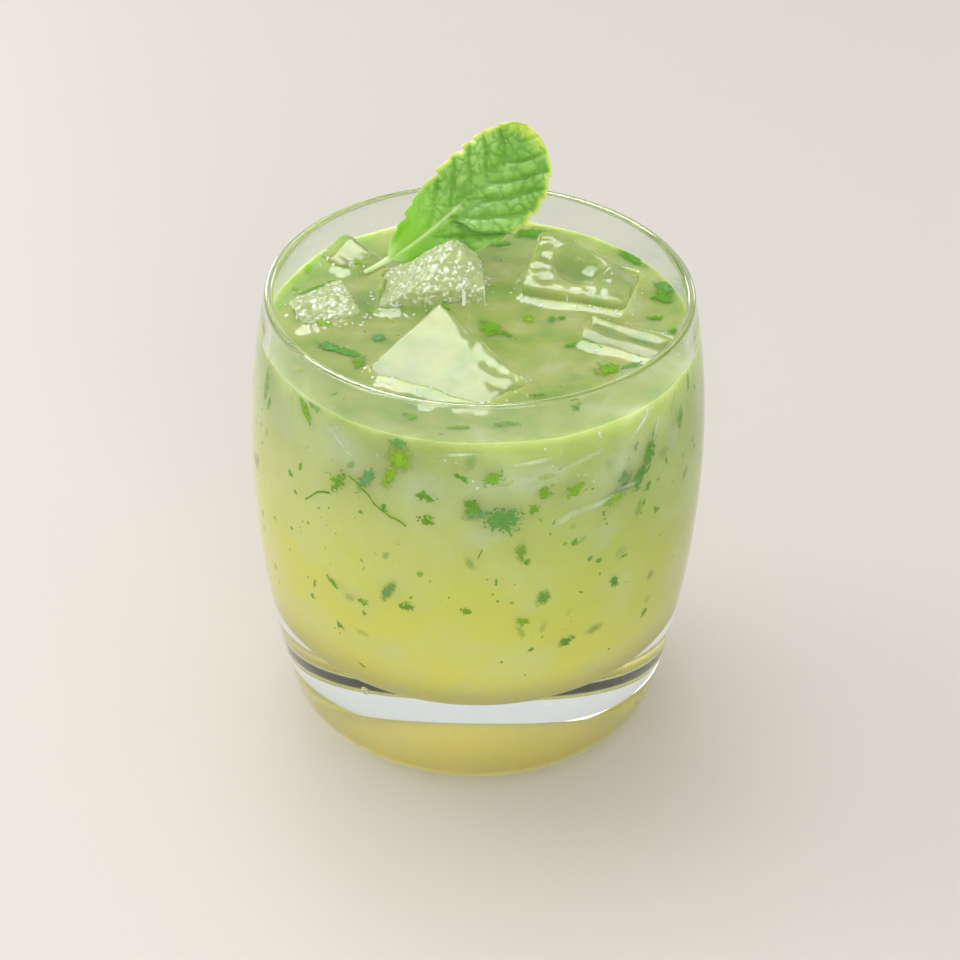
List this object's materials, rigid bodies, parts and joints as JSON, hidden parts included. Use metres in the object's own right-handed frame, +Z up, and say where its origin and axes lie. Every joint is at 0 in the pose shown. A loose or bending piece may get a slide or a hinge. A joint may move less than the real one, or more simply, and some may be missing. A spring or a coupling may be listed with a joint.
{
  "type": "mojito cocktail in a tumbler",
  "caption": "Barrel-shaped glass tumbler filled with a cloudy pale green mojito, with lumps of ice standing out of the drink and a mint leaf at the back.",
  "frame": {"origin": "on the axis of the glass, at the plane of the ring it stands on", "axes": "+Z up along the axis of the glass, which is its tallest way; -Y towards the front, from where the leaf stands at the back; +X to the right seen from the front"},
  "size_m": [0.088, 0.088, 0.1112],
  "materials": {
    "glass": "clear pressed soda-lime glass, fire-polished",
    "drink": "cloudy lime drink with chopped mint, wet surface",
    "ice": "clear wet ice with melted edges",
    "frosted_ice": "cracked white ice with a crusted face",
    "leaf": "fresh mint leaf, crinkled, soft sheen"
  },
  "bodies": {
    "root": {"glass": "glass", "drink": "drink", "ice_front": "ice", "ice_centre": "frosted_ice", "ice_left": "frosted_ice", "ice_back_left": "ice", "ice_right": "ice", "ice_slab": "ice", "mint_leaf": "leaf"}
  },
  "joints": []
}
